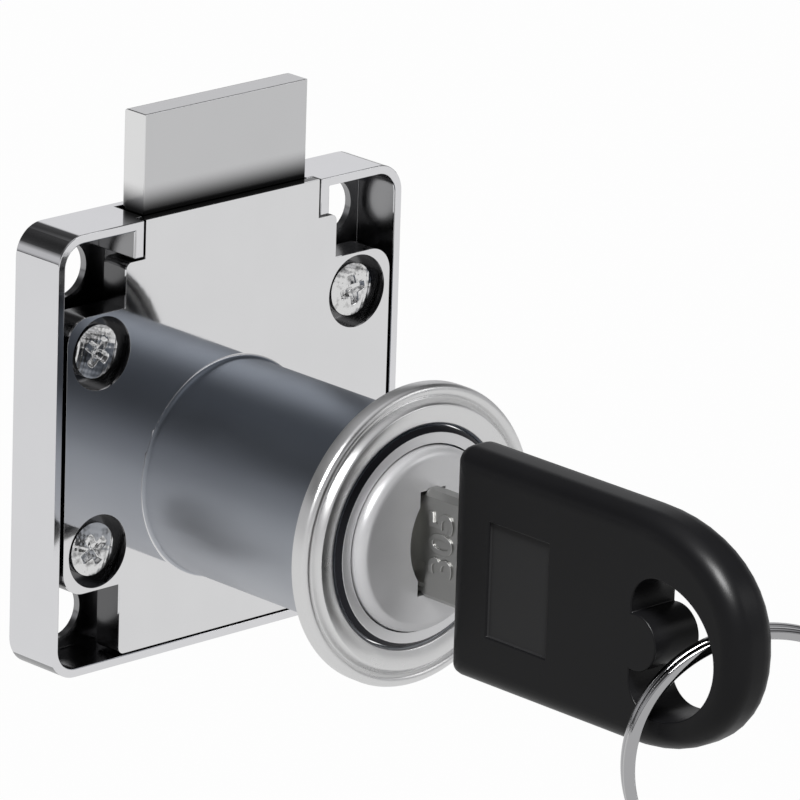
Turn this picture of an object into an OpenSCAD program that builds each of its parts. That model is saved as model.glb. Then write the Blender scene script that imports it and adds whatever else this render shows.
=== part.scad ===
// Surface-mounted drawer lock with its key turned home and the bolt thrown.
// Millimetres, +Z up. The origin lies on the barrel's axis, in the plane of the
// case's open rim, which is the face that meets the drawer front.
// The barrel and the key point along -Y, and the bolt travels along Z.

/* [Case] */
// Width of the die-cast case
case_w = 40; // [39.5:0.5:46]
// Height of the die-cast case
case_h = 40; // [39.5:0.5:46]
// Depth of the case from its open rim to its back
case_d = 5.6; // [5.5:0.1:7]
// Radius of the case's four outer corners
case_corner_r = 2.8; // [2:0.1:3.6]
// Thickness of the rim
rim_t = 0.8; // [0.6:0.1:1.1]
// Thickness of the floor
floor_t = 0.9; // [0.7:0.1:1]
// Height of the case's centre above the barrel's axis
case_rise = 4.2; // [4:0.1:4.6]
// Length of the two returns beside the bolt's gap
return_l = 3.3; // [2.8:0.1:3.6]
// Thickness of those returns and of the bolt's guide ribs
rib_t = 1; // [0.8:0.05:1.1]

/* [Mounting holes] */
// Distance of a wood screw hole from the case's outer faces
mount_inset = 4.5; // [4.25:0.25:5]
// Bore of a wood screw hole
mount_d = 5; // [4.4:0.1:5.2]
// Widest diameter of the countersink in the case's back
mount_sink_d = 6.2; // [5.6:0.1:6.6]
// Depth of that countersink
mount_sink_h = 0.5; // [0.4:0.05:0.6]

/* [Cylinder housing] */
// Width of the cover strip between the two returns
strip_w = 20.2; // [19.8:0.1:20.6]
// Width of the cover strip below the returns
waist_w = 24.5; // [24.2:0.1:25]
// Gap between the two screw wings and the case's rim
wing_gap = 0.4; // [0.3:0.05:0.7]
// Height of the screw wings
wing_h = 25; // [24:0.5:26]
// Corner radius of the screw wings
wing_corner_r = 2.3; // [1.5:0.1:2.5]
// Thickness of the cover over the bolt
cover_t = 1; // [0.9:0.05:1.05]
// Depth of the cover's skirt and wings
skirt_d = 2.9; // [2.6:0.1:3]
// Outer diameter of the barrel
barrel_d = 19.5; // [19:0.1:20]
// Length of the barrel in front of the case
barrel_l = 24.9; // [24:0.5:32]
// Fillet where the barrel meets the cover
barrel_root_r = 0.4; // [0.2:0.05:0.6]
// Chamfer round the barrel's mouth
barrel_mouth_c = 0.45; // [0.2:0.05:0.6]

/* [Cover screws] */
// Distance of a screw from its wing's outer edge
screw_inset_x = 3.9; // [3.8:0.05:4.1]
// Distance of a screw from its wing's upper or lower edge
screw_inset_z = 3.55; // [3.5:0.05:4]
// Diameter of a counterbore in the wings
counterbore_d = 6.6; // [6:0.1:6.6]
// Depth of a counterbore
counterbore_h = 1.5; // [1.3:0.05:1.6]
// Diameter of a pan head
screw_head_d = 4.8; // [4.4:0.1:5]
// Height of a pan head
screw_head_h = 1.1; // [0.9:0.05:1.2]
// Diameter of the screw's shank
screw_d = 2.4; // [2:0.1:2.6]
// Width of the cross recess's arms
cross_w = 0.6; // [0.5:0.05:0.7]
// Length of the cross recess's arms
cross_l = 2.6; // [2.2:0.1:2.8]
// Depth of the cross recess
cross_h = 0.7; // [0.5:0.05:0.8]

/* [Bolt] */
// Width of the bolt
bolt_w = 18.8; // [18.4:0.1:18.9]
// Thickness of the bolt
bolt_t = 3.4; // [3:0.05:3.45]
// Distance that the bolt travels
bolt_throw = 9; // [8:0.5:9]
// Radius of the edges at the bolt's back
bolt_edge_r = 1.2; // [0.6:0.1:1.4]

/* [Plug] */
// Diameter of the plug
plug_d = 14; // [13.6:0.1:14.4]
// Diameter of the plug's head
plug_head_d = 15.6; // [15.2:0.1:15.8]
// Depth of the recess in the barrel's mouth that the head turns in
plug_recess_h = 1.2; // [1:0.1:1.6]
// Distance that the cap's face stands in front of the barrel's mouth
plug_proud = 1.1; // [0.8:0.1:1.3]
// Diameter of the driving pin on the plug's tail
drive_pin_d = 3.8; // [3.2:0.1:4]
// Wall of the polished cap on the plug's head
cap_t = 0.4; // [0.3:0.05:0.45]
// Radius of the cap's rounded edge
cap_edge_r = 1; // [0.7:0.1:1.1]

/* [Wafers] */
// Distance from one wafer to the next
wafer_pitch = 3; // [2.8:0.1:3.1]
// Distance of the first wafer behind the barrel's mouth
wafer_first = 3.6; // [3.4:0.1:4]
// Thickness of a wafer
wafer_t = 1; // [0.8:0.05:1.1]
// Width of a wafer
wafer_w = 6.4; // [6:0.1:6.6]
// Distance of the retaining wafer behind the blade's tip
retainer_gap = 1; // [0.9:0.1:1.4]
// Diameter of the wire in a wafer's spring
spring_wire_d = 0.26; // [0.2:0.02:0.3]
// Outer diameter of a wafer's spring
spring_d = 1.5; // [1.3:0.05:1.6]

/* [Trim ring] */
// Outer diameter of the trim ring
trim_d = 26.8; // [26:0.2:28]
// Thickness of the pressed sheet
trim_t = 0.5; // [0.4:0.05:0.6]
// Depth of the ring from its back edge to its outer lip
trim_lip_h = 1.35; // [1.2:0.05:1.6]
// Height of the ridge above the lip
trim_ridge_h = 0.95; // [0.6:0.05:1.1]
// Width of the ridge's outer flank
trim_flank_w = 0.6; // [0.5:0.05:0.7]
// Distance of the ring's back edge behind the barrel's mouth
trim_setback = 1.9; // [1.6:0.1:5]

/* [Key blade] */
// Thickness of the blade
blade_t = 2; // [1.8:0.05:2.1]
// Height of the blade inside the plug
blade_h = 8.6; // [8.2:0.1:8.8]
// Length of the blade inside the plug
blade_l = 21; // [20.4:0.2:21.2]
// Height of the shank between the blade and the head
shank_h = 9.8; // [9.6:0.1:10.2]
// Depth of the groove milled along the blade
groove_t = 0.6; // [0.4:0.05:0.7]

/* [Key head] */
// Distance from the blade's shoulder to the head
head_gap = 4.6; // [4:0.2:6]
// Length of the head
head_l = 34.6; // [33.6:0.2:36]
// Height of the head
head_h = 20.6; // [20:0.2:22]
// Thickness of the head
head_t = 5.2; // [5:0.1:5.6]
// Radius of the head's long edges
head_edge_r = 2; // [1.4:0.1:2.2]
// Width of the band behind the hole
head_band = 2.75; // [2.6:0.05:3]
// Depth of the plain label recess
label_t = 0.3; // [0.2:0.05:0.4]

/* [Key ring] */
// Outer diameter of the split ring
ring_d = 24; // [23.5:0.5:24.5]
// Thickness of the ring's wire across one turn
ring_wire = 1; // [0.9:0.05:1.05]
// Angle between the ring and the key's crosswise direction
ring_yaw = -34; // [-35:1:-33]

/* [Clearances] */
// Gap between parts that slide on each other
slide_gap = 0.15; // [0.1:0.01:0.18]
// Radial gap of the plug in its housing
plug_gap = 0.08; // [0.05:0.01:0.1]
// Radial gap of the trim ring on the barrel
trim_gap = 0.1; // [0.06:0.01:0.14]
// Gap between the cover and the case's rim
cover_gap = 0.2; // [0.15:0.05:0.3]

/* [Hidden] */
$fn = 64;
// Small overrun of every cutting shape
e = 0.01;
// Gap that keeps two faces of one body from merging
seat_gap = 0.02;

// Case and cover
case_top = case_rise + case_h / 2;
inner_bottom = case_rise - case_h / 2 + rim_t;
floor_y = case_d - floor_t;
bolt_y = (cover_t + floor_y - bolt_t) / 2;
rib_x = bolt_w / 2 + slide_gap;
return_x = strip_w / 2 + cover_gap;
waist_top = case_top - return_l - cover_gap;
waist_bottom = inner_bottom + cover_gap;
skirt_x = rib_x + rib_t + slide_gap;
waist_corner_r = 0.6;
collar_w = 0.4;
collar_h = 0.3;
boss_wall = 1.4;
screw_end = case_d - 0.5;
screw_tip_gap = 0.1;
screw_dome_r = 2 * screw_head_d;
wing_w = case_w - 2 * (rim_t + wing_gap);
screw_points = [for (x = [-1, 1], z = [-1, 1])
    [x * (wing_w / 2 - screw_inset_x), case_rise + z * (wing_h / 2 - screw_inset_z)]];
mount_points = [for (x = [-1, 1], z = [-1, 1])
    [x * (case_w / 2 - mount_inset), case_rise + z * (case_h / 2 - mount_inset)]];

// Barrel and plug, measured forward from the case's rim
barrel_r = barrel_d / 2;
plug_r = plug_d / 2;
bore_r = plug_r + plug_gap;
cap_f = barrel_l + plug_proud;
cap_r = plug_head_d / 2 + seat_gap + cap_t;
recess_f = barrel_l - plug_recess_h;
tail_y = cover_t - plug_gap;
pin_offset = bolt_throw / 2;
pin_end = bolt_y + bolt_t - slide_gap / 2;
keyhole_w = 2.9;
keyhole_h = 9.4;
keyhole_lens_r = 5.9;
keyhole_lens_x = 3.44;
keyway_gap = 0.1;

// Trim ring
trim_crest_in = 1.25;
trim_slope_power = 1.3;
trim_bore_rise = 0.15;
trim_edge_r = 0.6;

// Wafers
slot_gap = 0.08;
wafer_count = 5;
wafer_f = [for (i = [0 : wafer_count - 1]) barrel_l - wafer_first - i * wafer_pitch];
wafer_cuts = [1.4, 0.9, 1.8, 1.2, 1.6];
wafer_travel = 1.2;
window_rise = 0.6;
window_side = 0.25;
ear_w = 1.7;
ear_h = 1;
ear_z = 0.3;
pocket_z = -4.2;
pocket_t = spring_d + 0.15;
retainer_reach = 0.9;

// Key, measured forward from the case's rim
tip_f = cap_f - blade_l;
retainer_f = tip_f - retainer_gap;
shoulder_gap = 0.05;
shoulder_f = cap_f + shoulder_gap;
head_f = shoulder_f + head_gap;
shank_c = 0.5;
bow_l = 13;
bow_h = 12;
tip_low_c = 2.4;
tip_high_c = 1.4;
cut_flat = 0.6;
groove_over = 0.3;
groove_low = -3.85;
groove_top = -1.6;
head_corner_r = 1.3;
head_tail_l = 13.2;
head_power = 0.9;
tail_f = head_f + head_l - head_tail_l;
hole_lobe_r = 2.9;
hole_half_h = 6.1;
hole_offset = 3.65;
hole_f = tail_f + hole_offset;
hole_z = -1;
hole_tail_l = head_f + head_l - head_band - hole_f;
hole_bump_r = 2.5;
hole_bump_in = 2.4;
label_gap = 5;
label_f = head_f + label_gap;
label_z = -0.3;
label_l = 7.2;
label_h = 10.2;

// Split ring
ring_reach = 27.3;
ring_f = head_f + ring_reach;
ring_z = -1.2;
ring_lean = 32.3;
ring_turn_gap = 0.03;
ring_power = 0.6;
ring_start_angle = 25;
ring_end_angle = 695;
ring_cross_angle = 340;
ring_cross_angle_span = 40;
ring_step_angle = 10;
ring_phase = 60;

// Extrudes an outline in X and Z from the depth y0 to y1
module along_y(y0, y1) {
    translate([0, y1, 0]) rotate([90, 0, 0]) linear_extrude(y1 - y0) children();
}

// Turns a profile of radius and forward distance about the barrel's axis
module turned() {
    rotate([90, 0, 0]) rotate_extrude($fn = 128) children();
}

// Extrudes an outline of forward distance and Z from x0 to x1
module across(x0, x1) {
    translate([x0, 0, 0]) rotate([90, 0, 90]) linear_extrude(x1 - x0) mirror([1, 0]) children();
}

module round_rect(w, h, r) {
    square([w - 2 * r, h], center = true);
    square([w, h - 2 * r], center = true);
    for (x = [-1, 1], z = [-1, 1])
        translate([x * (w / 2 - r), z * (h / 2 - r)]) circle(r);
}

module at_points(points) {
    for (p = points) translate([p[0], 0, p[1]]) children();
}

// Tray with a rim, guide ribs for the bolt, returns beside its gap and screw bosses
module case() {
    color([0.78, 0.78, 0.8]) difference() {
        union() {
            difference() {
                along_y(0, case_d) translate([0, case_rise])
                    round_rect(case_w, case_h, case_corner_r);
                along_y(-1, floor_y) translate([0, case_rise])
                    round_rect(case_w - 2 * rim_t, case_h - 2 * rim_t, case_corner_r - rim_t);
                along_y(-1, floor_y) translate([-return_x, case_top - 2 * rim_t])
                    square([2 * return_x, 3 * rim_t]);
            }
            for (s = [0, 1]) mirror([s, 0, 0]) {
                along_y(cover_t + slide_gap, floor_y + e) translate([rib_x, inner_bottom - e])
                    square([rib_t, case_top - inner_bottom + e]);
                along_y(0, floor_y + e) translate([return_x, case_top - return_l])
                    square([rib_t, return_l]);
            }
            at_points(screw_points) rotate([90, 0, 0])
                translate([0, 0, -floor_y - e])
                    cylinder(r = screw_d / 2 + boss_wall, h = floor_y - skirt_d + e);
            at_points(mount_points) rotate([90, 0, 0])
                translate([0, 0, -floor_y - e])
                    cylinder(d = mount_d + 2 * collar_w, h = collar_h + e);
        }
        at_points(screw_points) rotate([90, 0, 0])
            translate([0, 0, -screw_end]) cylinder(r = screw_d / 2 + seat_gap, h = case_d);
        at_points(mount_points) rotate([90, 0, 0]) {
            translate([0, 0, -case_d - 1]) cylinder(d = mount_d, h = case_d + 2);
            translate([0, 0, -case_d - e])
                cylinder(d1 = mount_sink_d, d2 = mount_d, h = mount_sink_h);
        }
    }
}

// Outline of the cover: the strip at the bolt's gap, the waist and the two screw wings
module cover_outline() {
    translate([-strip_w / 2, waist_top - e]) square([strip_w, case_top - waist_top + e]);
    translate([0, (waist_top + waist_bottom) / 2])
        round_rect(waist_w, waist_top - waist_bottom, waist_corner_r);
    translate([0, case_rise]) round_rect(wing_w, wing_h, wing_corner_r);
}

// Cover and barrel in one casting: the cover holds the bolt in, the barrel holds the plug
module cylinder_housing() {
    color([0.72, 0.73, 0.75]) difference() {
        union() {
            difference() {
                along_y(0, skirt_d) cover_outline();
                along_y(cover_t, skirt_d + 1) translate([-skirt_x, waist_bottom - 1])
                    square([2 * skirt_x, case_top - waist_bottom + 2]);
            }
            turned() {
                translate([0, -e]) square([barrel_r, barrel_l - barrel_mouth_c + e]);
                translate([barrel_r - e, -e]) difference() {
                    square(barrel_root_r + e);
                    translate([barrel_root_r + e, barrel_root_r + e]) circle(barrel_root_r);
                }
                translate([0, barrel_l - barrel_mouth_c])
                    polygon([[0, -e], [barrel_r, -e], [barrel_r, 0],
                             [barrel_r - barrel_mouth_c, barrel_mouth_c], [0, barrel_mouth_c]]);
            }
        }
        turned() {
            translate([0, -cover_t - 1]) square([bore_r, barrel_l + cover_t + 2]);
            translate([0, recess_f]) square([cap_r + slide_gap, plug_recess_h + 1]);
            translate([0, retainer_f - wafer_t / 2 - slide_gap])
                square([plug_r + retainer_reach + slide_gap * 2, wafer_t + 2 * slide_gap]);
        }
        along_y(-wafer_f[0] - wafer_t, -wafer_f[wafer_count - 1] + wafer_t)
            square([wafer_w + 2 * slide_gap, 2 * (plug_r + wafer_travel)], center = true);
        at_points(screw_points) rotate([90, 0, 0]) {
            translate([0, 0, -counterbore_h]) cylinder(d = counterbore_d, h = counterbore_h + 1);
            translate([0, 0, -skirt_d - 1]) cylinder(r = screw_d / 2 + slide_gap, h = skirt_d + 1);
        }
    }
}

// Four pan-head screws that clamp the cover to the case's bosses
module cover_screws() {
    color([0.8, 0.8, 0.82]) at_points(screw_points) translate([0, counterbore_h, 0])
        rotate([90, 0, 0]) difference() {
            union() {
                rotate_extrude() intersection() {
                    square([screw_head_d / 2, screw_head_h]);
                    translate([0, screw_head_h - screw_dome_r]) circle(screw_dome_r);
                }
                translate([0, 0, counterbore_h - screw_end + screw_tip_gap])
                    cylinder(d = screw_d, h = screw_end - counterbore_h);
            }
            for (a = [0, 90]) rotate(a)
                translate([0, 0, screw_head_h - cross_h / 2 + e])
                    cube([cross_l, cross_w, cross_h + 2 * e], center = true);
        }
}

// How far the driving pin's true height differs from an even slide, at the turn a
function pin_lead(a) = pin_offset * (cos(a) - 1 + a / 90);

// Half height of the bolt's window at the distance x: the pin's path, widened by its radius
function window_half(x) = slide_gap + max([for (a = [0 : 5 : 90])
    let (d = abs(abs(x) - pin_offset * sin(a)))
    d < drive_pin_d / 2 ? pin_lead(a) + sqrt(pow(drive_pin_d / 2, 2) - d * d) : 0]);

// Flat bolt with a window that the driving pin works in
module bolt() {
    bolt_bottom = inner_bottom + bolt_throw + cover_gap;
    bolt_top = case_top + bolt_throw;
    reach = pin_offset + drive_pin_d / 2;
    columns = [for (i = [-16 : 16]) reach * sin(i * 90 / 16)];
    color([0.8, 0.8, 0.82]) difference() {
        intersection() {
            translate([0, 0, bolt_bottom]) linear_extrude(bolt_top - bolt_bottom)
                translate([0, bolt_y]) {
                    translate([-bolt_w / 2, 0]) square([bolt_w, bolt_t - bolt_edge_r]);
                    translate([-bolt_w / 2 + bolt_edge_r, 0])
                        square([bolt_w - 2 * bolt_edge_r, bolt_t]);
                    for (s = [-1, 1])
                        translate([s * (bolt_w / 2 - bolt_edge_r), bolt_t - bolt_edge_r])
                            circle(bolt_edge_r);
                }
            translate([-bolt_w, 0, 0]) rotate([90, 0, 90]) linear_extrude(2 * bolt_w)
                translate([bolt_y, bolt_bottom - 1]) {
                    square([bolt_t + 1, bolt_top - bolt_edge_r - bolt_bottom + 1]);
                    square([bolt_t - bolt_edge_r, bolt_top - bolt_bottom + 1]);
                    translate([bolt_t - bolt_edge_r, bolt_top - bolt_edge_r - bolt_bottom + 1])
                        circle(bolt_edge_r);
                }
        }
        along_y(bolt_y - 1, bolt_y + bolt_t + 1) translate([0, pin_offset]) polygon(concat(
            [for (x = columns) [x, window_half(x)]],
            [for (i = [len(columns) - 1 : -1 : 0]) [columns[i], -window_half(columns[i])]]));
    }
}

// Outline of the keyhole: a slot with two bowed cheeks
module keyhole() {
    square([keyhole_w, keyhole_h], center = true);
    intersection() {
        translate([-keyhole_lens_x, 0]) circle(keyhole_lens_r);
        translate([keyhole_lens_x, 0]) circle(keyhole_lens_r);
    }
}

// Slot across the plug for one wafer, with the pocket of its spring
module wafer_slot(f) {
    translate([0, -f, 0]) {
        cube([wafer_w + 2 * slot_gap, wafer_t + 2 * slot_gap, 4 * plug_r], center = true);
        translate([0, -wafer_t / 2 - slot_gap, ear_z - wafer_travel])
            cube([wafer_w / 2 + ear_w + slot_gap, wafer_t + 2 * slot_gap,
                  ear_h + 2 * wafer_travel]);
        translate([wafer_w / 2, -pocket_t / 2, pocket_z])
            cube([ear_w + slot_gap, pocket_t, ear_z + ear_h - pocket_z]);
    }
}

// Plug with its keyway, wafer slots and the off-centre driving pin on its tail
module plug() {
    head_r = plug_head_d / 2;
    face_f = cap_f - cap_t - seat_gap;
    round_r = cap_edge_r - cap_t;
    color([0.76, 0.7, 0.52]) difference() {
        union() {
            turned() {
                translate([0, -tail_y]) square([plug_r, recess_f + slide_gap + tail_y + e]);
                translate([0, recess_f + slide_gap])
                    square([head_r, face_f - round_r - recess_f - slide_gap]);
                translate([0, recess_f + slide_gap])
                    square([head_r - round_r, face_f - recess_f - slide_gap]);
                translate([head_r - round_r, face_f - round_r]) circle(round_r);
            }
            translate([0, pin_end, pin_offset]) rotate([90, 0, 0])
                cylinder(d = drive_pin_d, h = pin_end - tail_y + e);
        }
        difference() {
            along_y(-cap_f, -tip_f + 2 * keyway_gap)
                square([blade_t + 2 * keyway_gap, blade_h + 2 * keyway_gap], center = true);
            along_y(-recess_f, -tip_f + 2 * keyway_gap + e)
                translate([-blade_t / 2 - 2 * keyway_gap, groove_low + keyway_gap])
                    square([groove_t + keyway_gap, groove_top - groove_low - 2 * keyway_gap]);
        }
        along_y(-cap_f, -recess_f) keyhole();
        for (f = wafer_f) wafer_slot(f);
        wafer_slot(retainer_f);
    }
}

// Thin polished cap over the plug's head, pierced by the keyhole
module plug_cap() {
    color([0.85, 0.85, 0.86]) difference() {
        turned() difference() {
            union() {
                translate([0, recess_f + slide_gap])
                    square([cap_r, plug_recess_h - slide_gap + plug_proud - cap_edge_r]);
                square([cap_r - cap_edge_r, cap_f]);
                translate([cap_r - cap_edge_r, cap_f - cap_edge_r]) circle(cap_edge_r);
            }
            square([cap_r - cap_t, cap_f - cap_edge_r]);
            square([cap_r - cap_edge_r, cap_f - cap_t]);
            translate([cap_r - cap_edge_r, cap_f - cap_edge_r]) circle(cap_edge_r - cap_t);
        }
        along_y(-cap_f - 1, 0) keyhole();
    }
}

// Outline of a wafer, up to the radius that its ends reach
module wafer_outline(low_r, high_r) {
    intersection() {
        translate([-wafer_w / 2, -plug_r]) square([wafer_w, plug_r]);
        circle(low_r);
    }
    intersection() {
        translate([-wafer_w / 2, -e]) square([wafer_w, 2 * plug_r]);
        circle(high_r);
    }
    translate([wafer_w / 2 - e, ear_z]) square([ear_w + e, ear_h]);
}

// Brass wafer with its window, drawn flush with the plug as the key holds it
module wafer(i) {
    f = wafer_f[i];
    window_bottom = -blade_h / 2 - keyway_gap;
    window_top = blade_h / 2 + window_rise;
    color([0.82, 0.66, 0.36]) along_y(-f - wafer_t / 2, -f + wafer_t / 2) difference() {
        wafer_outline(plug_r - plug_gap, plug_r - plug_gap);
        translate([-blade_t / 2 - window_side, window_bottom])
            square([blade_t + 2 * window_side, window_top - window_bottom]);
    }
}

// Wafer behind the blade's tip that stands in the housing's groove and keeps the plug in
module retaining_wafer() {
    color([0.75, 0.75, 0.77])
        along_y(-retainer_f - wafer_t / 2, -retainer_f + wafer_t / 2)
            wafer_outline(plug_r - plug_gap, plug_r + retainer_reach);
}

// Closed solid skinned over a list of rings with as many points each
module skin(rings) {
    n = len(rings[0]);
    m = len(rings);
    walls = [for (i = [0 : m - 2], j = [0 : n - 1])
        [i * n + j, (i + 1) * n + j, (i + 1) * n + (j + 1) % n, i * n + (j + 1) % n]];
    polyhedron([for (ring = rings) each ring],
               concat([[for (j = [0 : n - 1]) j]], walls,
                      [[for (j = [n - 1 : -1 : 0]) (m - 1) * n + j]]));
}

// Tube of a polygonal section, swept along a list of frames [centre, side, up]
module sweep(frames, section) {
    skin([for (k = frames) [for (q = section) k[0] + q[0] * k[1] + q[1] * k[2]]]);
}

// Coil spring under a wafer's ear
module wafer_spring(f) {
    coil_r = (spring_d - spring_wire_d) / 2;
    low = pocket_z + spring_wire_d / 2 + seat_gap;
    high = ear_z - spring_wire_d / 2 - seat_gap;
    turns = 5;
    steps = 10;
    section = [for (j = [0 : 4]) spring_wire_d / 2 * [cos(j * 72), sin(j * 72)]];
    frames = [for (i = [0 : turns * steps])
        let (a = i * 360 / steps, out = [cos(a), sin(a), 0])
        [[wafer_w / 2 + ear_w / 2, -f, low + (high - low) * i / (turns * steps)] + coil_r * out,
         out, [0, 0, -1]]];
    color([0.6, 0.6, 0.62]) sweep(frames, section);
}

// Height of the trim ring's front at the radius r: a low lip, rounded outside, then a ridge
// with a steep outer flank and a long slope down to the bore
function trim_front(r, lip, inner, outer) =
    let (crest = trim_d / 2 - trim_crest_in,
         out = min(1, (r - crest) / trim_flank_w),
         fall = pow(max(0, (crest - r) / (crest - inner)), trim_slope_power),
         over = max(0, r - outer + trim_edge_r))
    lip + (r > crest ? trim_ridge_h * (1 + cos(180 * out)) / 2
                     : trim_ridge_h - (trim_ridge_h - trim_bore_rise) * fall)
        - (trim_edge_r - sqrt(trim_edge_r * trim_edge_r - over * over));

// Pressed trim ring that slips over the barrel and hides the hole in the drawer front
module trim_ring() {
    inner = barrel_r + trim_gap;
    outer = trim_d / 2;
    back = barrel_l - trim_setback;
    lip = back + trim_lip_h;
    front = [for (i = [0 : 28]) let (r = outer - (outer - inner) * cos(i * 90 / 28))
        [r, trim_front(r, lip, inner, outer)]];
    under = [for (i = [28 : -1 : 0])
        let (r = outer - trim_t - (outer - inner - 2 * trim_t) * cos(i * 90 / 28))
        [r, trim_front(r, lip, inner, outer - trim_t) - trim_t]];
    color([0.74, 0.74, 0.74]) turned() polygon(concat(
        [[inner, back + trim_t]], front, [[outer, back]], [[outer - trim_t, back]], under,
        [[inner + trim_t, back + trim_t]]));
}

// Outline of the blade from its tip to the end of the bow that the head holds
module blade_outline() {
    difference() {
        polygon([[tip_f, -blade_h / 2 + tip_low_c], [tip_f + tip_low_c, -blade_h / 2],
                 [shoulder_f + e, -blade_h / 2], [shoulder_f + e, blade_h / 2],
                 [tip_f + tip_high_c, blade_h / 2], [tip_f, blade_h / 2 - tip_high_c]]);
        for (i = [0 : wafer_count - 1]) let (f = wafer_f[i], d = wafer_cuts[i])
            translate([f, -blade_h / 2]) polygon([[-cut_flat - d, -e], [-cut_flat, d],
                                                  [cut_flat, d], [cut_flat + d, -e]]);
    }
    translate([head_f + bow_l / 2, 0]) square([bow_l, bow_h], center = true);
}

// Nickel-plated blade with its shank and the bow inside the head
module key_blade() {
    half = blade_t / 2;
    color([0.6, 0.6, 0.6]) difference() {
        union() {
            across(-half, half) blade_outline();
            along_y(-head_f - e, -shoulder_f) polygon([for (a = [[1, 1], [-1, 1], [-1, -1], [1, -1]])
                each [[a[0] * (a[0] * a[1] > 0 ? half : half - shank_c),
                       a[1] * (a[0] * a[1] > 0 ? shank_h / 2 - shank_c : shank_h / 2)],
                      [a[0] * (a[0] * a[1] > 0 ? half - shank_c : half),
                       a[1] * (a[0] * a[1] > 0 ? shank_h / 2 : shank_h / 2 - shank_c)]]]);
        }
        along_y(-shoulder_f - groove_over, -tip_f + 1) translate([-half - e, groove_low])
            square([groove_t + e, groove_top - groove_low]);
    }
}

// Outline of the head, drawn in by inset: square at the blade, rounded at the tail
function head_outline(inset) =
    let (r = max(head_corner_r - inset, 0.5), h = head_h / 2 - inset, l = head_tail_l - inset)
    concat(
        [for (a = [90 : -15 : 0]) [head_f + inset + r - r * cos(a), -h + r - r * sin(a)]],
        [for (a = [0 : 15 : 90]) [head_f + inset + r - r * cos(a), h - r + r * sin(a)]],
        [for (a = [90 : -7.5 : -90])
            [tail_f + l * pow(cos(a), head_power), h * sign(a) * pow(abs(sin(a)), head_power)]]);

// Ring of points round the head at the place x, drawn in by inset
function head_ring(x, inset) = [for (p = head_outline(inset)) [x, -p[0], p[1]]];

// Hole for the split ring: half an ellipse at the tail, with a bump between two lobes inside
module head_hole() {
    translate([hole_f, hole_z]) difference() {
        union() {
            hull() for (s = [-1, 1])
                translate([0, s * (hole_half_h - hole_lobe_r)]) circle(hole_lobe_r);
            intersection() {
                scale([hole_tail_l, hole_half_h]) circle(1);
                translate([0, -head_h]) square([head_l, 2 * head_h]);
            }
        }
        translate([-hole_bump_in, 0]) circle(hole_bump_r);
    }
}

// Moulded head with rounded edges, a plain label recess on each side and the ring's hole
module key_head() {
    flat = head_t / 2 - head_edge_r;
    color([0.1, 0.1, 0.11]) difference() {
        skin([for (a = [-90 : 15 : 90]) each a == 0 ? [head_ring(-flat, 0), head_ring(flat, 0)]
            : [head_ring(sign(a) * flat + head_edge_r * sin(a), head_edge_r * (1 - cos(a)))]]);
        across(-head_t, head_t) head_hole();
        across(-blade_t / 2 - seat_gap, blade_t / 2 + seat_gap)
            translate([head_f - 1, -bow_h / 2 - seat_gap])
                square([bow_l + 1 + seat_gap, bow_h + 2 * seat_gap]);
        for (s = [0, 1]) mirror([s, 0, 0])
            across(head_t / 2 - label_t, head_t) translate([label_f, label_z - label_h / 2])
                square([label_l, label_h]);
    }
}

// Two-turn split ring through the head's hole, hanging in a plumb plane
module key_ring() {
    wire_r = ring_d / 2 - ring_wire / 2;
    shift = ring_wire / 2 + ring_turn_gap / 2;
    section = [for (a = [0 : 45 : 315]) ring_wire / 2
        * [sign(cos(a)) * pow(abs(cos(a)), ring_power), sign(sin(a)) * pow(abs(sin(a)), ring_power)]];
    frames = [for (t = [ring_start_angle : ring_step_angle : ring_end_angle])
        let (k = min(1, max(0, (t - ring_cross_angle) / ring_cross_angle_span)),
             y = shift * (2 * k * k * (3 - 2 * k) - 1),
             out = [cos(t - ring_phase), 0, sin(t - ring_phase)])
        [wire_r * out + [0, y, 0], out, [0, 1, 0]]];
    color([0.8, 0.8, 0.82]) translate([0, -ring_f, ring_z]) rotate([0, 0, ring_yaw])
        translate([wire_r * sin(ring_lean), 0, -wire_r * cos(ring_lean)])
            sweep(frames, section);
}

case();
cylinder_housing();
cover_screws();
bolt();
plug();
plug_cap();
wafer(0);  // wafer_1
wafer(1);  // wafer_2
wafer(2);  // wafer_3
wafer(3);  // wafer_4
wafer(4);  // wafer_5
wafer_spring(wafer_f[0]);  // wafer_spring_1
wafer_spring(wafer_f[1]);  // wafer_spring_2
wafer_spring(wafer_f[2]);  // wafer_spring_3
wafer_spring(wafer_f[3]);  // wafer_spring_4
wafer_spring(wafer_f[4]);  // wafer_spring_5
retaining_wafer();
wafer_spring(retainer_f);  // retaining_spring
trim_ring();
key_blade();
key_head();
key_ring();
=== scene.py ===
import math

import bmesh
import bpy
import numpy as np
from mathutils import Matrix, Vector


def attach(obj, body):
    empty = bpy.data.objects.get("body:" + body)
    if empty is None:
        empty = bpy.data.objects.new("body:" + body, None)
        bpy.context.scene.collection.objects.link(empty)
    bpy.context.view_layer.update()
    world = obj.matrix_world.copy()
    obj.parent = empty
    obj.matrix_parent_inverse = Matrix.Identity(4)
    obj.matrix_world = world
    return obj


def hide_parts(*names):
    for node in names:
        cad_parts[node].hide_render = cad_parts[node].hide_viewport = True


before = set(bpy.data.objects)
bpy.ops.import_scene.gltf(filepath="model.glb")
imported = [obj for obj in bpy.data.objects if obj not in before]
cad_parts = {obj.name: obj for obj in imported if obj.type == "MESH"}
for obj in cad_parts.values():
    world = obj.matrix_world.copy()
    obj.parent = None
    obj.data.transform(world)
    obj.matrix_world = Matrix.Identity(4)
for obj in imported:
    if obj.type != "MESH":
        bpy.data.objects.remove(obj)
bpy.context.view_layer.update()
bpy.context.scene.view_settings.view_transform = "Standard"

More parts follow.
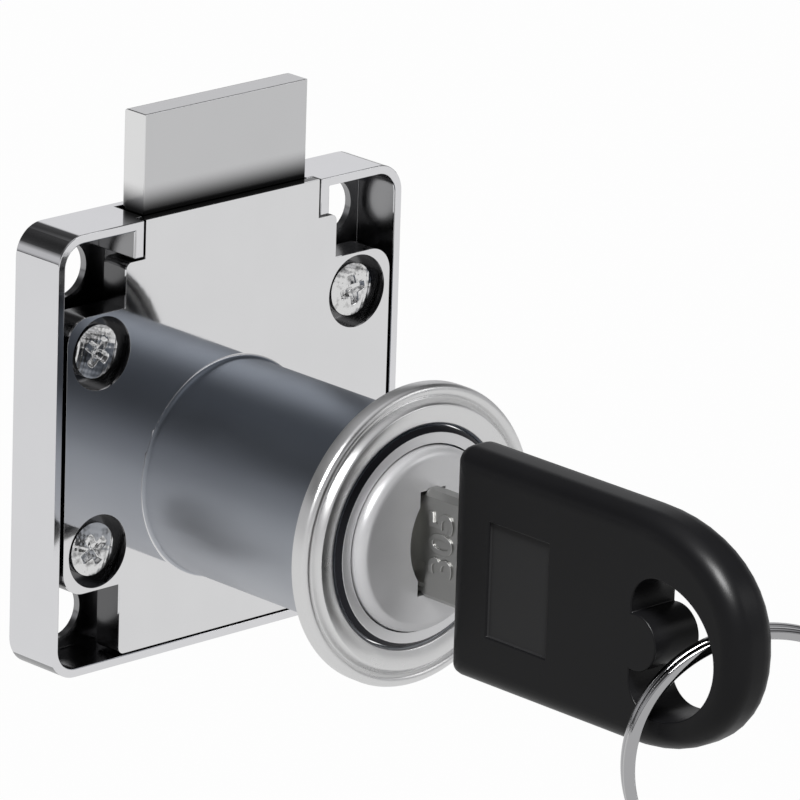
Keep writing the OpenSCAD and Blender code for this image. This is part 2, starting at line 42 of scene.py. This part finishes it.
# Camera. A long lens stands in front of the lock, to its left and a little above it.
azimuth, elevation, roll = np.radians([-43.65, 17.79, 1.80])
aim_point = np.array([0.02058, 0.0, 0.00195])
camera_distance = 0.7805
back = np.array([math.sin(azimuth) * math.cos(elevation),
                 -math.cos(azimuth) * math.cos(elevation), math.sin(elevation)])
level = np.array([math.cos(azimuth), math.sin(azimuth), 0.0])
upright = np.cross(back, level)
right = math.cos(roll) * level + math.sin(roll) * upright
up = -math.sin(roll) * level + math.cos(roll) * upright
lens = bpy.data.cameras.new("camera")
lens.lens, lens.sensor_width = 395.9, 36.0
lens.clip_start, lens.clip_end = 0.05, 50.0
camera = bpy.data.objects.new("camera", lens)
bpy.context.collection.objects.link(camera)
pose = np.eye(4)
pose[:3, 0], pose[:3, 1], pose[:3, 2] = right, up, back
pose[:3, 3] = aim_point + camera_distance * back
camera.matrix_world = Matrix(pose.tolist())
bpy.context.scene.camera = camera


# Case. A die-cast zinc tray with a thin rim, polished and chrome plated. It is screwed
# to the inside of the drawer front through its four corners.
def node_graph(name):
    """An empty material, its Principled shader and a helper that adds linked nodes."""
    material = bpy.data.materials.new(name)
    material.use_nodes = True
    tree = material.node_tree
    shader = tree.nodes["Principled BSDF"]

    def add(kind, inputs=(), **settings):
        made = tree.nodes.new("ShaderNode" + kind)
        for key, value in settings.items():
            setattr(made, key, value)
        for socket, value in dict(inputs).items():
            if isinstance(value, bpy.types.NodeSocket):
                tree.links.new(value, made.inputs[socket])
            else:
                made.inputs[socket].default_value = value
        return made

    return material, tree, shader, add


def metal_finish(name, colour, rough, spread, ripple, grain=(900.0, 900.0, 900.0), bump=0.05):
    """Plated or bare metal. Its roughness is rough plus or minus spread, following a slow
    noise of the size 1/ripple metres, and a fine noise stretched by grain gives the bump."""
    material, tree, shader, add = node_graph(name)
    shader.inputs["Metallic"].default_value = 1.0
    place = add("TexCoord").outputs["Object"]
    slow = add("TexNoise", {"Vector": place, "Scale": ripple, "Detail": 3.0})
    tone = add("MapRange", {"Value": slow.outputs[0], "From Min": 0.3, "From Max": 0.7,
                            "To Min": rough - spread, "To Max": rough + spread})
    tree.links.new(tone.outputs[0], shader.inputs["Roughness"])
    tint = add("MixRGB", {"Fac": slow.outputs[0], "Color1": (*[0.94 * c for c in colour], 1.0),
                          "Color2": (*colour, 1.0)})
    tree.links.new(tint.outputs[0], shader.inputs["Base Color"])
    stretched = add("Mapping", {"Vector": place, "Scale": grain})
    fine = add("TexNoise", {"Vector": stretched.outputs[0], "Scale": 1.0, "Detail": 2.0})
    relief = add("Bump", {"Height": fine.outputs[0], "Strength": bump, "Distance": 0.00002})
    tree.links.new(relief.outputs[0], shader.inputs["Normal"])
    return material, tree, shader, add


def finished_piece(name, mesh, body, material, nodes=()):
    """Puts a mesh in the scene with its finish, on its body, in place of the nodes named."""
    piece = bpy.data.objects.new(name, mesh)
    bpy.context.collection.objects.link(piece)
    mesh.materials.clear()
    mesh.materials.append(material)
    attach(piece, body)
    if nodes:
        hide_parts(*nodes)
    return piece


def eased_copy(node, edge, steps=2, sharp=35.0, crisp=None):
    """A CAD node's triangles welded into whole faces, with every edge sharper than the
    angle given rounded to the radius edge, but for those at points where crisp holds."""
    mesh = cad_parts[node].data.copy()
    shape = bmesh.new()
    shape.from_mesh(mesh)
    weld_distance, flat_angle = 3e-6, 0.4
    bmesh.ops.remove_doubles(shape, verts=shape.verts, dist=weld_distance)
    bmesh.ops.dissolve_limit(shape, angle_limit=math.radians(flat_angle), verts=shape.verts,
                             edges=shape.edges)
    if edge:
        bend = [e for e in shape.edges if len(e.link_faces) == 2
                and e.calc_face_angle(0.0) > math.radians(sharp)
                and not (crisp and any(crisp(v.co) for v in e.verts))]
        bmesh.ops.bevel(shape, geom=bend, offset=edge, offset_type="OFFSET", segments=steps,
                        profile=0.5, affect="EDGES", clamp_overlap=True)
    for face in shape.faces:
        face.smooth = True
    shape.to_mesh(mesh)
    shape.free()
    mesh.set_sharp_from_angle(angle=math.radians(sharp))
    return mesh


def settle_normals(piece):
    """Weights each corner's normal by the area of its faces, so that flat faces stay flat."""
    weigh = piece.modifiers.new("flat_faces", "WEIGHTED_NORMAL")
    weigh.keep_sharp = True
    weigh.weight = 100


case_middle = 0.0042
behind_front, before_back = 0.0002, 0.00559


def dull_and_shade_inside(tree, shader, add, half, shade):
    """Roughens a plated casting where the polishing wheel does not reach, and dims its colour
    there to the grey shade, which is painted shade: between its front and back faces, and less
    than half from the case's middle in X and Z. So it dulls and shades the tray, the
    counterbores and the countersinks in its back."""
    place = add("SeparateXYZ", {"Vector": add("TexCoord").outputs["Object"]})
    aside = add("Math", {0: place.outputs["X"]}, operation="ABSOLUTE")
    level = add("Math", {0: place.outputs["Z"], 1: case_middle}, operation="SUBTRACT")
    level = add("Math", {0: level.outputs[0]}, operation="ABSOLUTE")
    reach = add("Math", {0: aside.outputs[0], 1: level.outputs[0]}, operation="MAXIMUM")
    within = add("Math", {0: reach.outputs[0], 1: half}, operation="LESS_THAN")
    deep = add("Math", {0: place.outputs["Y"], 1: behind_front}, operation="GREATER_THAN")
    front = add("Math", {0: place.outputs["Y"], 1: before_back}, operation="LESS_THAN")
    inner = add("Math", {0: within.outputs[0], 1: deep.outputs[0]}, operation="MULTIPLY")
    inner = add("Math", {0: inner.outputs[0], 1: front.outputs[0]}, operation="MULTIPLY")
    colour = shader.inputs["Base Color"].links[0].from_socket
    dim = add("MixRGB", {"Fac": inner.outputs[0], "Color1": colour,
                         "Color2": (shade, shade, 1.02 * shade, 1.0)})
    tree.links.new(dim.outputs[0], shader.inputs["Base Color"])
    rough = shader.inputs["Roughness"].links[0].from_socket
    added_roughness = 0.14
    dull = add("Math", {0: inner.outputs[0], 1: added_roughness, 2: rough},
               operation="MULTIPLY_ADD")
    tree.links.new(dull.outputs[0], shader.inputs["Roughness"])


case_chrome, tree, shader, add = metal_finish("case_chrome", (0.90, 0.90, 0.92), 0.07, 0.03,
                                              180.0)
inside_rim = 0.0196
dull_and_shade_inside(tree, shader, add, inside_rim, 0.36)
wood_screw_spacing = 0.031
casting_edge = 0.00012


def countersink(spot):
    """Whether a point of the case lies on a wood screw's countersink in its back."""
    beside = abs(spot.x) - wood_screw_spacing / 2
    above = abs(spot.z - case_middle) - wood_screw_spacing / 2
    return spot.y > 0.0040 and math.hypot(beside, above) < 0.0036


settle_normals(finished_piece("case_shell", eased_copy("case", casting_edge, crisp=countersink),
                              "lock_case", case_chrome, ["case"]))

# Bolt. A flat plated bar that the plug's pin pushes up out of the case. Where it leaves
# the case it is painted dark, a painted shade at its foot, and its sides that face along X
# are painted near white, a painted highlight.
bolt_chrome, tree, shader, add = metal_finish("bolt_chrome", (0.72, 0.72, 0.73), 0.16, 0.03,
                                              160.0, (5000.0, 900.0, 200.0), 0.08)
# Painted shade: the bar fades to near black towards its foot, where it leaves the case.
height = add("SeparateXYZ", {"Vector": add("TexCoord").outputs["Object"]})
dark_below, unshaded_above = 0.0244, 0.0270
foot_shade = add("MapRange", {"Value": height.outputs["Z"], "From Min": dark_below,
                        "From Max": unshaded_above, "To Min": 0.0, "To Max": 1.0},
           interpolation_type="SMOOTHSTEP")
# Painted highlight: the bar's faces that turn along X are painted near white.
facing = add("SeparateXYZ", {"Vector": add("TexCoord").outputs["Normal"]})
side_highlight = add("Math", {0: facing.outputs["X"]}, operation="ABSOLUTE")
plate_and_shading = add("MixRGB", {"Fac": side_highlight.outputs[0],
                       "Color1": shader.inputs["Base Color"].links[0].from_socket,
                       "Color2": (0.98, 0.98, 0.98, 1.0)}).outputs[0]
shade = add("MixRGB", {"Fac": foot_shade.outputs[0], "Color1": (0.012, 0.012, 0.012, 1.0),
                       "Color2": plate_and_shading})
tree.links.new(shade.outputs[0], shader.inputs["Base Color"])
settle_normals(finished_piece("bolt_bar", eased_copy("bolt", casting_edge), "bolt",
                              bolt_chrome, ["bolt"]))

# Cylinder housing. Cover and barrel are one zinc casting. The cover is mirror bright, and
# the barrel has a thinner, darker blue-grey plate.
housing_chrome, tree, shader, add = metal_finish("housing_chrome", (0.90, 0.90, 0.91), 0.05,
                                                 0.02, 180.0)
place = add("TexCoord").outputs["Object"]
depth = add("SeparateXYZ", {"Vector": place})


def ahead_of(start, end):
    """A mask along Y that rises from 0 at start to 1 at end."""
    return add("MapRange", {"Value": depth.outputs["Y"], "From Min": start, "From Max": end,
                            "To Min": 0.0, "To Max": 1.0})


front = ahead_of(-0.00002, -0.00006)
mouth = ahead_of(-0.02488, -0.02486)
chamfer = ahead_of(-0.02440, -0.02446)
barrel = add("Math", {0: front.outputs[0], 1: mouth.outputs[0]}, operation="MULTIPLY")
bright = shader.inputs["Base Color"].links[0].from_socket
# Painted shade and light: the barrel's plate is painted darker above and paler below.
darker_above, paler_below = 0.008, -0.006
shade_by_height = add("MapRange", {"Value": depth.outputs["Z"], "From Min": darker_above,
                         "From Max": paler_below, "To Min": 0.0, "To Max": 1.0})
plate_and_shading = add("MixRGB", {"Fac": shade_by_height.outputs[0], "Color1": (0.25, 0.28, 0.33, 1.0),
                       "Color2": (0.58, 0.60, 0.64, 1.0)})
tint = add("MixRGB", {"Fac": barrel.outputs[0], "Color1": bright, "Color2": plate_and_shading.outputs[0]})
# Painted shadow: the band just behind the barrel's front lip is painted near black for the gap
# inside the trim ring.
shadow = add("Math", {0: chamfer.outputs[0], 1: mouth.outputs[0]}, operation="MULTIPLY")
tint = add("MixRGB", {"Fac": shadow.outputs[0], "Color1": tint.outputs[0],
                      "Color2": (0.03, 0.03, 0.035, 1.0)})
tree.links.new(tint.outputs[0], shader.inputs["Base Color"])
sheen = shader.inputs["Roughness"].links[0].from_socket
barrel_roughness, lip_roughness = 0.38, 0.10
matt = add("Math", {0: front.outputs[0], 1: barrel_roughness, 2: sheen},
           operation="MULTIPLY_ADD")
lip = add("Math", {0: mouth.outputs[0], 1: -lip_roughness, 2: lip_roughness},
          operation="MULTIPLY_ADD")
matt = add("Math", {0: matt.outputs[0], 1: lip.outputs[0]}, operation="ADD")
tree.links.new(matt.outputs[0], shader.inputs["Roughness"])
whole_cover = 0.030
dull_and_shade_inside(tree, shader, add, whole_cover, 0.16)
settle_normals(finished_piece("housing_casting", eased_copy("cylinder_housing", casting_edge),
                              "lock_case", housing_chrome,
                              ["cylinder_housing"]))

# Cover screws. Four nickel-plated pan heads in counterbores, scuffed by the driver, with a
# cross recess that tapers to a small flat.
screw_nickel, tree, shader, add = metal_finish("screw_nickel", (0.92, 0.92, 0.92), 0.14, 0.06,
                                               900.0, (1300.0, 1300.0, 1300.0), 0.8)
grime = add("TexNoise", {"Vector": add("TexCoord").outputs["Object"], "Scale": 1300.0,
                         "Detail": 4.0})
patchy = add("MapRange", {"Value": grime.outputs[0], "From Min": 0.52, "From Max": 0.70,
                          "To Min": 0.0, "To Max": 0.70})
stained = add("MixRGB", {"Fac": patchy.outputs[0],
                         "Color1": shader.inputs["Base Color"].links[0].from_socket,
                         "Color2": (0.10, 0.10, 0.10, 1.0)})
tree.links.new(stained.outputs[0], shader.inputs["Base Color"])


def grid_mesh(name, points, rows, columns, wrap_rows=True):
    """A skin over a grid of points, closed along its columns and, if asked, its rows."""
    i, j = np.meshgrid(np.arange(rows if wrap_rows else rows - 1), np.arange(columns),
                       indexing="ij")
    down, along = (i + 1) % rows, (j + 1) % columns
    quads = np.stack([i * columns + j, i * columns + along, down * columns + along,
                      down * columns + j], axis=-1).reshape(-1, 4)
    faces = quads.tolist()
    if not wrap_rows:
        faces += [list(range(columns - 1, -1, -1)),
                  list(range((rows - 1) * columns, rows * columns))]
    mesh = bpy.data.meshes.new(name)
    mesh.from_pydata(points, [], faces)
    shape = bmesh.new()
    shape.from_mesh(mesh)
    bmesh.ops.recalc_face_normals(shape, faces=shape.faces)
    shape.to_mesh(mesh)
    shape.free()
    mesh.polygons.foreach_set("use_smooth", np.ones(len(mesh.polygons), dtype=bool))
    return mesh


def pan_head(u, v, turn):
    """Height over the head's seat, in millimetres, at the point (u, v): a low dome less a
    cross recess turned by the angle turn, whose arms slope down to the middle, plus two
    crossing waves that stand for the scuffs."""
    a, b = u * math.cos(turn) + v * math.sin(turn), v * math.cos(turn) - u * math.sin(turn)
    crown, fall, radius = 1.1, 0.30, 2.4
    arm_half_width, arm_length, recess_depth = 0.46, 1.45, 0.68
    side_run, end_run, floor_slope = 0.22, 0.30, 0.26
    dome = crown - fall * (u * u + v * v) / radius ** 2
    sunk = 0.0
    for along, across in ((a, b), (b, a)):
        side = np.clip((arm_half_width - np.abs(across)) / side_run, 0.0, 1.0)
        end = np.clip((arm_length - np.abs(along)) / end_run, 0.0, 1.0)
        sunk = np.maximum(sunk, side * end * (recess_depth - floor_slope * np.abs(along)))
    scuff = 0.012 * np.sin(9 * u + 4 * v + turn) * np.sin(7 * v - 5 * u + 3 * turn)
    return dome - sunk + scuff


top_r = np.concatenate([[0.01], np.linspace(0.08, 2.32, 34), [2.38]])
side_r = np.array([2.4, 2.4, 2.38, 1.2, 1.2, 0.01])
side_h = np.array([0.72, 0.03, 0.0, 0.0, -3.5, -3.5])
seat_depth = 1.5
ring_r = np.concatenate([top_r, side_r])
around = np.linspace(0.0, 2 * np.pi, 120, endpoint=False)
u = ring_r[:, None] * np.cos(around)[None, :]
v = ring_r[:, None] * np.sin(around)[None, :]
screws = bmesh.new()
for x, z, turn in ((-14.9, -4.75, 0.5), (14.9, -4.75, -0.2), (-14.9, 13.15, 0.9),
                   (14.9, 13.15, 0.25)):
    h = pan_head(u, v, turn)
    h[len(top_r):] = side_h[:, None]
    points = np.stack([x + u, seat_depth - h, z + v], axis=-1).reshape(-1, 3) / 1000
    screws.from_mesh(grid_mesh("screw", points, len(ring_r), len(around), wrap_rows=False))
screw_mesh = bpy.data.meshes.new("screw_set")
screws.to_mesh(screw_mesh)
screws.free()
screw_mesh.set_sharp_from_angle(angle=math.radians(50))
finished_piece("screw_set", screw_mesh, "lock_case", screw_nickel,
               ["cover_screws"])

# Plug. A zinc cylinder that carries the key, sealed inside the barrel, with five brass
# wafers, their springs and the wafer that keeps it in.
plug_zinc = metal_finish("plug_zinc", (0.82, 0.82, 0.80), 0.38, 0.08, 400.0)[0]
wafer_brass = metal_finish("wafer_brass", (0.78, 0.62, 0.32), 0.30, 0.08, 500.0)[0]
spring_steel = metal_finish("spring_steel", (0.55, 0.55, 0.57), 0.25, 0.06, 900.0)[0]
for name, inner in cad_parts.items():
    if name == "plug":
        finish = plug_zinc
    elif name.startswith("wafer_spring") or name == "retaining_spring":
        finish = spring_steel
    elif name.startswith("wafer") or name == "retaining_wafer":
        finish = wafer_brass
    else:
        continue
    inner.data.materials.clear()
    inner.data.materials.append(finish)

# Plug cap. A thin stainless cup pressed over the plug's head, satin on its face.
cap_satin, tree, shader, add = metal_finish("cap_satin", (0.80, 0.80, 0.81), 0.36, 0.05, 300.0)
shader.inputs["Metallic"].default_value = 0.4
cap = finished_piece("face_cap", eased_copy("plug_cap", 0.0), "plug", cap_satin,
                     ["plug_cap"])

# Trim ring. Pressed from thin sheet and brushed satin, with a rounded outer lip, a groove
# and a soft crest round its bore. It slips over the barrel and hides the hole in the
# drawer front.
trim_satin, tree, shader, add = metal_finish("trim_satin", (0.84, 0.84, 0.84), 0.32, 0.05,
                                             260.0)
# Painted shade: faces of the sheet that turn towards the back are painted dark grey.
facing = add("SeparateXYZ", {"Vector": add("TexCoord").outputs["Normal"]})
back_facing_shade = add("MapRange", {"Value": facing.outputs["Y"], "From Min": 0.1, "From Max": 0.4,
                          "To Min": 0.0, "To Max": 1.0})
bare = shader.inputs["Base Color"].links[0].from_socket
dim = add("MixRGB", {"Fac": back_facing_shade.outputs[0], "Color1": bare, "Color2": (0.12, 0.12, 0.12, 1.0)})
tree.links.new(dim.outputs[0], shader.inputs["Base Color"])


def lathed(name, profile, around=192):
    """A closed profile of (radius, forward distance) turned about the barrel's axis: the
    point (r, f) at the angle t goes to (r cos t, -f, r sin t)."""
    profile = np.asarray(profile)
    turn = np.linspace(0.0, 2 * np.pi, around, endpoint=False)
    radius, ahead = profile[:, 0][None, :], profile[:, 1][None, :]
    points = np.stack([radius * np.cos(turn)[:, None], -ahead + 0 * turn[:, None],
                       radius * np.sin(turn)[:, None]], axis=-1).reshape(-1, 3)
    return grid_mesh(name, points, around, len(profile))


def ring_front(r, inner, outer):
    """Height of the sheet's front at the radius r, in millimetres. Outside the groove the
    lip is a round bead. Inside it the sheet rises as half a cosine wave to a soft crest,
    and sinks as the square of the distance to a rounded edge at the bore."""
    bead_r, groove_r, crest_r = 12.85, 12.3, 11.6
    bead = np.clip((r - bead_r) / (outer - bead_r), -1.0, 1.0)
    lip_base, lip_height, groove_base, crest_height = 23.95, 0.55, 24.05, 0.75
    lip = lip_base + lip_height * np.sqrt(np.maximum(1.0 - bead * bead, 0.0))
    rise = np.clip((groove_r - r) / (groove_r - crest_r), 0.0, 1.0)
    sink = np.clip((crest_r - r) / (crest_r - inner), 0.0, 1.0)
    edge = np.clip(1.0 - (r - inner) / 0.3, 0.0, 1.0)
    crest = groove_base + crest_height * (1 - np.cos(np.pi * rise)) / 2
    return np.maximum(lip, crest - 0.35 * sink ** 2 - 0.25 * edge ** 2)


bore_r, rim_r, sheet, root = 9.85, 13.4, 0.5, 23.5
sweep = np.cos(np.linspace(0.0, np.pi / 2, 110))
outside = rim_r - (rim_r - bore_r) * sweep
inside = ((rim_r - sheet) - (rim_r - bore_r - 2 * sheet) * sweep)[::-1]
section = np.concatenate([[[bore_r, root]],
                          np.stack([outside, ring_front(outside, bore_r, rim_r)], 1),
                          [[rim_r, 23.0], [rim_r - sheet, 23.0]],
                          np.stack([inside, ring_front(inside, bore_r, rim_r - sheet) - sheet], 1),
                          [[bore_r + sheet, root]]]) / 1000
trim = lathed("trim_ring_skin", section)
trim.set_sharp_from_angle(angle=math.radians(50))
trim_skin = finished_piece("trim_ring_skin", trim, "trim_ring", trim_satin,
                           ["trim_ring"])

# Key blade. Stamped brass under nickel, painted paler inside the plug as painted light in the
# keyhole's shade, with a groove milled along it and three plain raised digits on its shank.
key_nickel, tree, shader, add = metal_finish("key_nickel", (0.40, 0.40, 0.39), 0.34, 0.06, 500.0)
place = add("SeparateXYZ", {"Vector": add("TexCoord").outputs["Object"]})
# Painted light: the blade is painted paler from here into the plug, where the keyhole shades it.
plain_until, bright_from = -0.0264, -0.0256
keyhole_light = add("MapRange", {"Value": place.outputs["Y"], "From Min": plain_until,
                          "From Max": bright_from, "To Min": 0.0, "To Max": 1.0})
brighter = add("MixRGB", {"Fac": keyhole_light.outputs[0],
                          "Color1": shader.inputs["Base Color"].links[0].from_socket,
                          "Color2": (0.62, 0.62, 0.61, 1.0)})
tree.links.new(brighter.outputs[0], shader.inputs["Base Color"])
blade = finished_piece("blade", eased_copy("key_blade", 0.00015), "key",
                       key_nickel, ["key_blade"])
settle_normals(blade)
digits = bpy.data.curves.new("digits", "FONT")
digits.body = "305"
digits.size = 0.0040
digits.extrude = 0.00008
digits.bevel_depth = 0.00008
digits.bevel_resolution = 2
digits.resolution_u = 6
digits.align_x, digits.align_y = "CENTER", "CENTER"
written = bpy.data.objects.new("digits_text", digits)
bpy.context.collection.objects.link(written)
bpy.context.view_layer.update()
stamp = bpy.data.meshes.new_from_object(written.evaluated_get(
    bpy.context.evaluated_depsgraph_get()))
bpy.data.objects.remove(written)
spots = np.empty(len(stamp.vertices) * 3)
stamp.vertices.foreach_get("co", spots)
spots = spots.reshape(-1, 3)
shank_side, digits_y, digits_z = -0.00102, -0.02845, 0.0005
spots = np.stack([shank_side - spots[:, 2], digits_y + spots[:, 1], digits_z + spots[:, 0]],
                 axis=1)
stamp.vertices.foreach_set("co", spots.ravel())
stamp.name = "shank_digits"
shape = bmesh.new()
shape.from_mesh(stamp)
bmesh.ops.remove_doubles(shape, verts=shape.verts, dist=1e-6)
bmesh.ops.recalc_face_normals(shape, faces=shape.faces)
shape.to_mesh(stamp)
shape.free()
number = finished_piece("shank_digits", stamp, "key", key_nickel)

# Key head. Black plastic moulded over the blade's bow, satin, with rounded edges, a plain
# recess for a label and a hole for the ring.
head_plastic, tree, shader, add = node_graph("head_plastic")
shader.inputs["Specular IOR Level"].default_value = 0.16
place = add("TexCoord").outputs["Object"]
slow = add("TexNoise", {"Vector": place, "Scale": 120.0, "Detail": 4.0})
tint = add("MixRGB", {"Fac": slow.outputs[0], "Color1": (0.0030, 0.0030, 0.0034, 1.0),
                      "Color2": (0.0045, 0.0045, 0.0050, 1.0)})
label = add("SeparateXYZ", {"Vector": place})
aside = add("Math", {0: label.outputs["X"]}, operation="ABSOLUTE")
panel_x, panel_y, panel_z = (0.00235, 0.00012), (-0.03925, 0.0036), (-0.0003, 0.0051)
within = [add("Math", {0: value, 1: middle, 2: half}, operation="COMPARE").outputs[0]
          for value, (middle, half) in ((aside.outputs[0], panel_x),
                                        (label.outputs["Y"], panel_y),
                                        (label.outputs["Z"], panel_z))]
panel = add("Math", {0: within[0], 1: within[1]}, operation="MULTIPLY")
panel = add("Math", {0: panel.outputs[0], 1: within[2]}, operation="MULTIPLY")
paler = add("MixRGB", {"Fac": panel.outputs[0], "Color1": tint.outputs[0],
                       "Color2": (0.014, 0.014, 0.0145, 1.0)})
tree.links.new(paler.outputs[0], shader.inputs["Base Color"])
tone = add("MapRange", {"Value": slow.outputs[0], "To Min": 0.30, "To Max": 0.38})
tree.links.new(tone.outputs[0], shader.inputs["Roughness"])
grain = add("TexNoise", {"Vector": place, "Scale": 9000.0, "Detail": 2.0})
relief = add("Bump", {"Height": grain.outputs[0], "Strength": 0.12, "Distance": 0.00002})
tree.links.new(relief.outputs[0], shader.inputs["Normal"])
head = finished_piece("head_moulding", eased_copy("key_head", 0.0004, 3), "key",
                      head_plastic, ["key_head"])
settle_normals(head)

# Key ring. Hard spring wire, flattened and wound twice, bright plated.
ring_chrome = metal_finish("ring_chrome", (0.50, 0.50, 0.51), 0.06, 0.02, 300.0)[0]


def split_ring(name, coil, wire, start, end, steps):
    """A flat wire wound twice. Its centre at the turn t lies at coil * (cos a, sin a) with
    a = t - 60 degrees, and steps from one side of the ring to the other as the smooth step
    from 340 to 380 degrees. Its section is a squared circle: the power 0.6 of the sine and
    of the cosine. The ring hangs in the head's hole by the point that lies lean from its
    top, and is turned by yaw about the upright through that point."""
    t = np.linspace(start, end, steps)
    a = np.radians(t - 60.0)
    k = np.clip((t - 340.0) / 40.0, 0.0, 1.0)
    side = (wire / 2 + 0.000015) * (2 * k * k * (3 - 2 * k) - 1)
    corner = np.radians(np.arange(0.0, 360.0, 15.0))
    u, v = [wire / 2 * np.sign(wave) * np.abs(wave) ** 0.6
            for wave in (np.cos(corner), np.sin(corner))]
    reach = coil + u[None, :]
    x = reach * np.cos(a)[:, None]
    y = side[:, None] + v[None, :]
    z = reach * np.sin(a)[:, None]
    lean, yaw = math.radians(32.3), math.radians(-34.0)
    hole_y, hole_z = -0.05795, -0.0012
    x, z = x + coil * math.sin(lean), z - coil * math.cos(lean)
    points = np.stack([x * math.cos(yaw) - y * math.sin(yaw),
                       x * math.sin(yaw) + y * math.cos(yaw) + hole_y, z + hole_z], axis=-1)
    return grid_mesh(name, points.reshape(-1, 3), steps, len(corner), wrap_rows=False)


wound = finished_piece("split_ring", split_ring("split_ring", 0.01146, 0.001, 25.0, 695.0, 269),
                       "key_ring", ring_chrome, ["key_ring"])

# Studio. A pale floor well below the lock, three soft lamps, and a sky that is pale near
# the horizon and dark overhead, which gives the plated faces their light and dark bands.
# The two stronger lamps light only pieces at the front, so the barrel doesn't mirror them.
half, low = 4, -0.08
floor_mesh = bpy.data.meshes.new("floor")
floor_mesh.from_pydata([(-half, -half, low), (half, -half, low), (half, half, low),
                        (-half, half, low)], [], [(0, 1, 2, 3)])
floor = bpy.data.objects.new("floor", floor_mesh)
bpy.context.collection.objects.link(floor)
floor_pale, tree, shader, add = node_graph("floor_pale")
shader.inputs["Base Color"].default_value = (0.86, 0.86, 0.86, 1.0)
shader.inputs["Roughness"].default_value = 0.9
rays = add("LightPath")
seen = add("Math", {0: rays.outputs["Is Camera Ray"], 1: rays.outputs["Is Glossy Ray"]},
           operation="MAXIMUM")
seen = add("Math", {0: seen.outputs[0], 1: rays.outputs["Is Transmission Ray"]},
           operation="MAXIMUM")
glow_share, mirrored_loss = 0.98, 0.27
part = add("Math", {0: seen.outputs[0], 1: glow_share}, operation="MULTIPLY")
level = add("Math", {0: rays.outputs["Is Glossy Ray"], 1: -mirrored_loss, 2: 1.0},
            operation="MULTIPLY_ADD")
glow = add("Emission", {"Color": (1.0, 1.0, 1.0, 1.0), "Strength": level.outputs[0]})
both = add("MixShader", {0: part.outputs[0], 1: shader.outputs[0], 2: glow.outputs[0]})
tree.links.new(both.outputs[0], tree.nodes["Material Output"].inputs["Surface"])
floor_mesh.materials.append(floor_pale)


def softbox(name, toward, distance, width, depth, power):
    """A soft rectangular lamp that hangs in the direction given and faces the lock."""
    lamp = bpy.data.lights.new(name, "AREA")
    lamp.shape, lamp.size, lamp.size_y, lamp.energy = "RECTANGLE", width, depth, power
    hung = bpy.data.objects.new(name, lamp)
    toward = Vector(toward).normalized()
    hung.location = toward * distance
    hung.rotation_euler = toward.to_track_quat("Z", "Y").to_euler()
    bpy.context.collection.objects.link(hung)
    return hung


softbox_left = softbox("softbox_left", (-0.69, -0.27, 0.66), 0.7, 0.36, 0.24, 3.6)
softbox("softbox_right", (0.54, -0.689, 0.48), 0.8, 0.36, 0.24, 0.45)
softbox_head = softbox("softbox_head", (-0.30, -0.47, 0.82), 0.7, 0.24, 0.26, 12.0)
front_pieces = bpy.data.collections.new("front_pieces")
for piece in (wound, trim_skin, cap, blade, number):
    front_pieces.objects.link(piece)
softbox_left.light_linking.receiver_collection = front_pieces
head_only = bpy.data.collections.new("head_only")
head_only.objects.link(head)
softbox_head.light_linking.receiver_collection = head_only

world = bpy.data.worlds.new("studio")
bpy.context.scene.world = world
world.use_nodes = True
sky = world.node_tree
place = sky.nodes.new("ShaderNodeTexCoord").outputs["Generated"]
split = sky.nodes.new("ShaderNodeSeparateXYZ")
sky.links.new(place, split.inputs[0])
bands = sky.nodes.new("ShaderNodeValToRGB")
sky.links.new(split.outputs["Z"], bands.inputs[0])
stops = [(0.0, 0.10), (0.03, 0.30), (0.10, 0.50), (0.26, 0.50), (0.42, 0.09), (0.66, 0.04),
         (0.86, 0.30), (1.0, 0.60)]
ramp = bands.color_ramp
while len(ramp.elements) < len(stops):
    ramp.elements.new(0.5)
for element, (spot, grey) in zip(ramp.elements, stops):
    element.position = spot
    element.color = (grey, grey, grey * 1.02, 1.0)
# A pale round patch low in the sky behind the lock brightens the tops of case and bolt.
patch_direction, patch_edge, patch_core = (0.657, 0.689, 0.306), 0.960, 0.990
aim = sky.nodes.new("ShaderNodeVectorMath")
aim.operation = "DOT_PRODUCT"
sky.links.new(place, aim.inputs[0])
aim.inputs[1].default_value = patch_direction
patch = sky.nodes.new("ShaderNodeMapRange")
patch.interpolation_type = "SMOOTHSTEP"
patch.inputs["From Min"].default_value = patch_edge
patch.inputs["From Max"].default_value = patch_core
sky.links.new(aim.outputs["Value"], patch.inputs["Value"])
lit = sky.nodes.new("ShaderNodeMixRGB")
sky.links.new(patch.outputs[0], lit.inputs[0])
sky.links.new(bands.outputs[0], lit.inputs[1])
lit.inputs[2].default_value = (0.70, 0.70, 0.71, 1.0)
rays = sky.nodes.new("ShaderNodeLightPath")
pale = sky.nodes.new("ShaderNodeMixRGB")
sky.links.new(rays.outputs["Is Camera Ray"], pale.inputs[0])
sky.links.new(lit.outputs[0], pale.inputs[1])
pale.inputs[2].default_value = (1.0, 1.0, 1.0, 1.0)
sky.links.new(pale.outputs[0], sky.nodes["Background"].inputs["Color"])
sky.nodes["Background"].inputs["Strength"].default_value = 1.0
